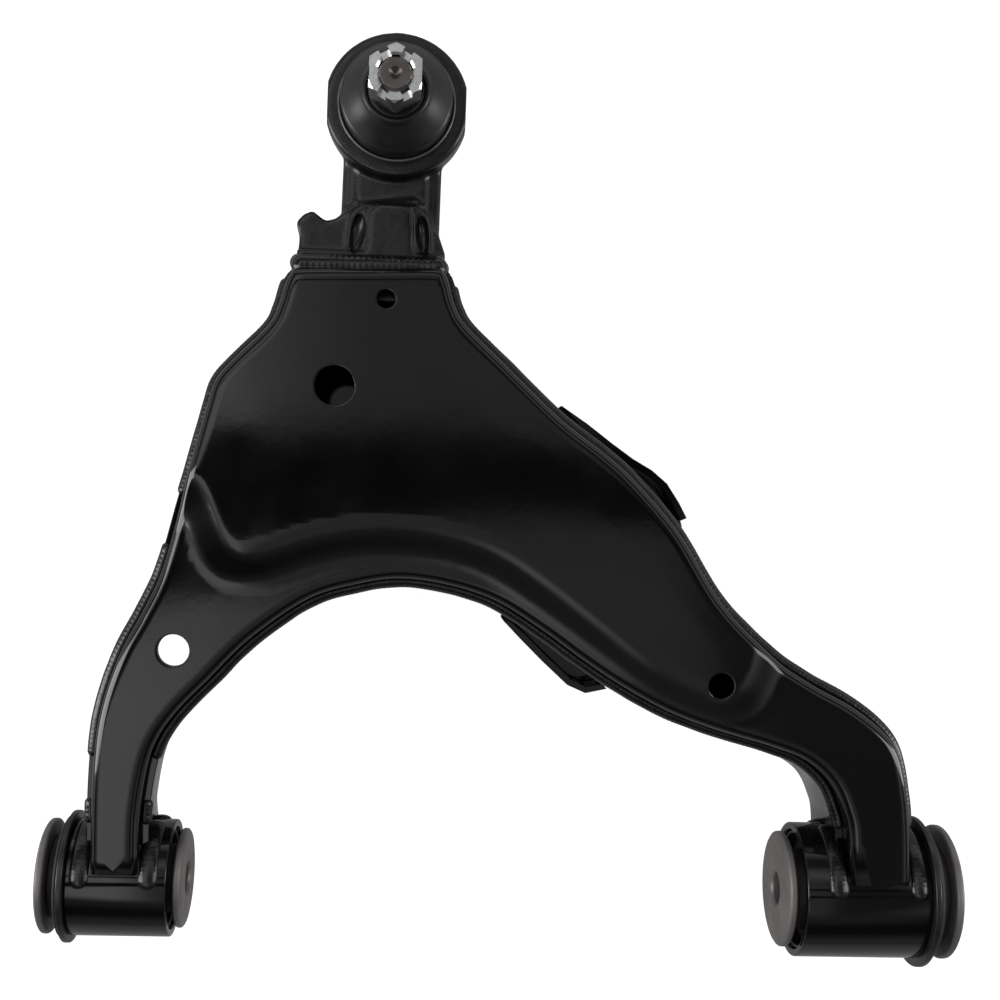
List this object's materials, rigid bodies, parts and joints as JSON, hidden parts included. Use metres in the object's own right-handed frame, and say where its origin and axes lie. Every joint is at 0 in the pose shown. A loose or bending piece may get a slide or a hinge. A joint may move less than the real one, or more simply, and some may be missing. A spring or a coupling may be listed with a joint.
{
  "type": "suspension control arm",
  "caption": "Two-legged lower suspension control arm of pressed steel with rubber pivot bushes, a ball joint and a shock absorber bracket.",
  "frame": {"origin": "middle of the pivot axis that runs through both bush bores", "axes": "+X along the pivot axis towards the large bush, +Y towards the ball joint, +Z the way the ball stud points"},
  "size_m": [0.4521, 0.4563, 0.15],
  "materials": {
    "black_paint": "gloss black dip paint",
    "painted_flange": "satin black",
    "bush_rubber": "matte moulded rubber",
    "boot_rubber": "satin rubber",
    "plain_steel": "satin grey-brown",
    "stud_steel": "turned and oiled",
    "spring_steel": "dark satin",
    "zinc_plate": "bright zinc plate",
    "white_acetal": "natural acetal"
  },
  "bodies": {
    "arm": {"upper_shell": "black_paint", "lower_shell": "black_paint", "ball_joint_housing": "black_paint", "small_eye_tube": "black_paint", "large_eye_tube": "black_paint", "small_bush_sleeve": "painted_flange", "large_bush_sleeve": "painted_flange", "small_bush_rubber": "bush_rubber", "large_bush_rubber": "bush_rubber", "shock_bracket_saddle": "black_paint", "inner_shock_ear": "black_paint", "outer_shock_ear": "black_paint", "shock_bolt_nut": "zinc_plate", "ball_seat": "white_acetal", "preload_spring": "spring_steel", "end_cap": "spring_steel", "dust_boot": "boot_rubber", "boot_base_ring": "spring_steel"},
    "small_pivot": {"small_pivot_tube": "plain_steel", "small_outer_plate": "plain_steel", "small_inner_plate": "plain_steel"},
    "large_pivot": {"large_pivot_tube": "plain_steel", "large_outer_plate": "plain_steel", "large_inner_plate": "plain_steel"},
    "swing_carrier": {"ball_liner": "white_acetal"},
    "rock_carrier": {"boot_neck_ring": "boot_rubber"},
    "stud": {"ball_stud": "stud_steel", "castle_nut": "zinc_plate"}
  },
  "joints": [
    {"name": "small_bush_twist", "type": "hinge", "parent": "arm", "child": "small_pivot", "pos_m": [-0.1875, 0, 0], "axis": [1, 0, 0], "range_deg": [-30, 30], "stiffness_Nm_per_rad": 60},
    {"name": "large_bush_twist", "type": "hinge", "parent": "arm", "child": "large_pivot", "pos_m": [0.1875, 0, 0], "axis": [1, 0, 0], "range_deg": [-30, 30], "stiffness_Nm_per_rad": 80},
    {"name": "stud_swing", "type": "hinge", "parent": "arm", "child": "swing_carrier", "pos_m": [-0.0615, 0.3844, 0], "axis": [1, 0, 0], "range_deg": [-18, 18], "deforming": ["dust_boot"]},
    {"name": "stud_rock", "type": "hinge", "parent": "swing_carrier", "child": "rock_carrier", "pos_m": [-0.0615, 0.3844, 0], "axis": [0, 1, 0], "range_deg": [-18, 18], "deforming": ["dust_boot"]},
    {"name": "stud_spin", "type": "hinge", "parent": "rock_carrier", "child": "stud", "pos_m": [-0.0615, 0.3844, 0], "axis": [0, 0, 1], "continuous": true}
  ]
}
